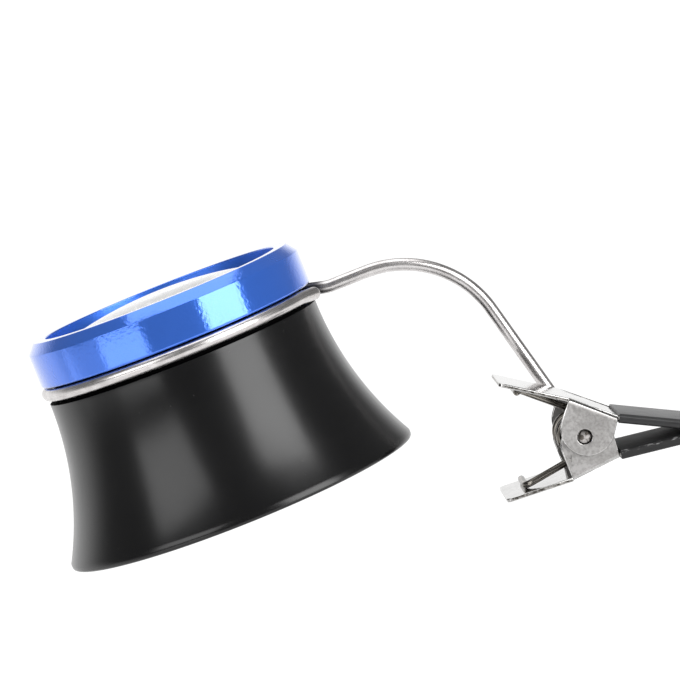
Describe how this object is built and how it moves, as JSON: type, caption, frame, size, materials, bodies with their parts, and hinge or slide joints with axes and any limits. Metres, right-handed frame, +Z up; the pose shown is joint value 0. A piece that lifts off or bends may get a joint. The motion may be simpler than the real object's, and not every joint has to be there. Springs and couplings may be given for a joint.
{
  "type": "clip-on eyeglass loupe",
  "caption": "Clip-on eyeglass loupe: flared eye cup with screwed bezel and lenses, held in a sprung wire ring whose arm swivels on a small sprung clip.",
  "frame": {"origin": "centre of the eye cup's rim plane, on the optical axis", "axes": "+Z up the optical axis from the eye rim to the bezel, +X from the loupe towards its clip, along the clip's width is Y"},
  "size_m": [0.0708, 0.039, 0.0367],
  "materials": {
    "cup": "moulded, satin gloss black",
    "bezel": "turned and anodised blue",
    "lens": "polished",
    "spacer": "matt black",
    "wire": "drawn wire, satin",
    "clip": "nickel plated sheet with fine wear",
    "spring": "spring wire, dark and bright",
    "sleeve": "soft sleeve, worn at an edge"
  },
  "bodies": {
    "clip_upper": {"upper_clip_half": "clip", "upper_jaw_sleeve": "sleeve", "torsion_spring": "spring"},
    "clip_lower": {"lower_clip_half": "clip", "lower_jaw_sleeve": "sleeve"},
    "arm": {"wire_arm": "wire"},
    "loupe_head": {"eye_cup": "cup", "bezel_ring": "bezel", "front_lens": "lens", "lens_spacer": "spacer", "rear_lens": "lens"}
  },
  "joints": [
    {"name": "jaw_open", "type": "hinge", "parent": "clip_upper", "child": "clip_lower", "pos_m": [0.03646, 0, -0.00642], "axis": [0, 1, 0], "range_deg": [0, 65], "stiffness_Nm_per_rad": 0.03, "springref_deg": -45.84, "deforming": ["torsion_spring"]},
    {"name": "arm_swivel", "type": "hinge", "parent": "clip_upper", "child": "arm", "pos_m": [0.03646, 0, -0.00642], "axis": [0, 1, 0], "continuous": true},
    {"name": "head_spin", "type": "hinge", "parent": "arm", "child": "loupe_head", "pos_m": [0, 0, 0.0184], "axis": [0, 0, 1], "continuous": true}
  ]
}
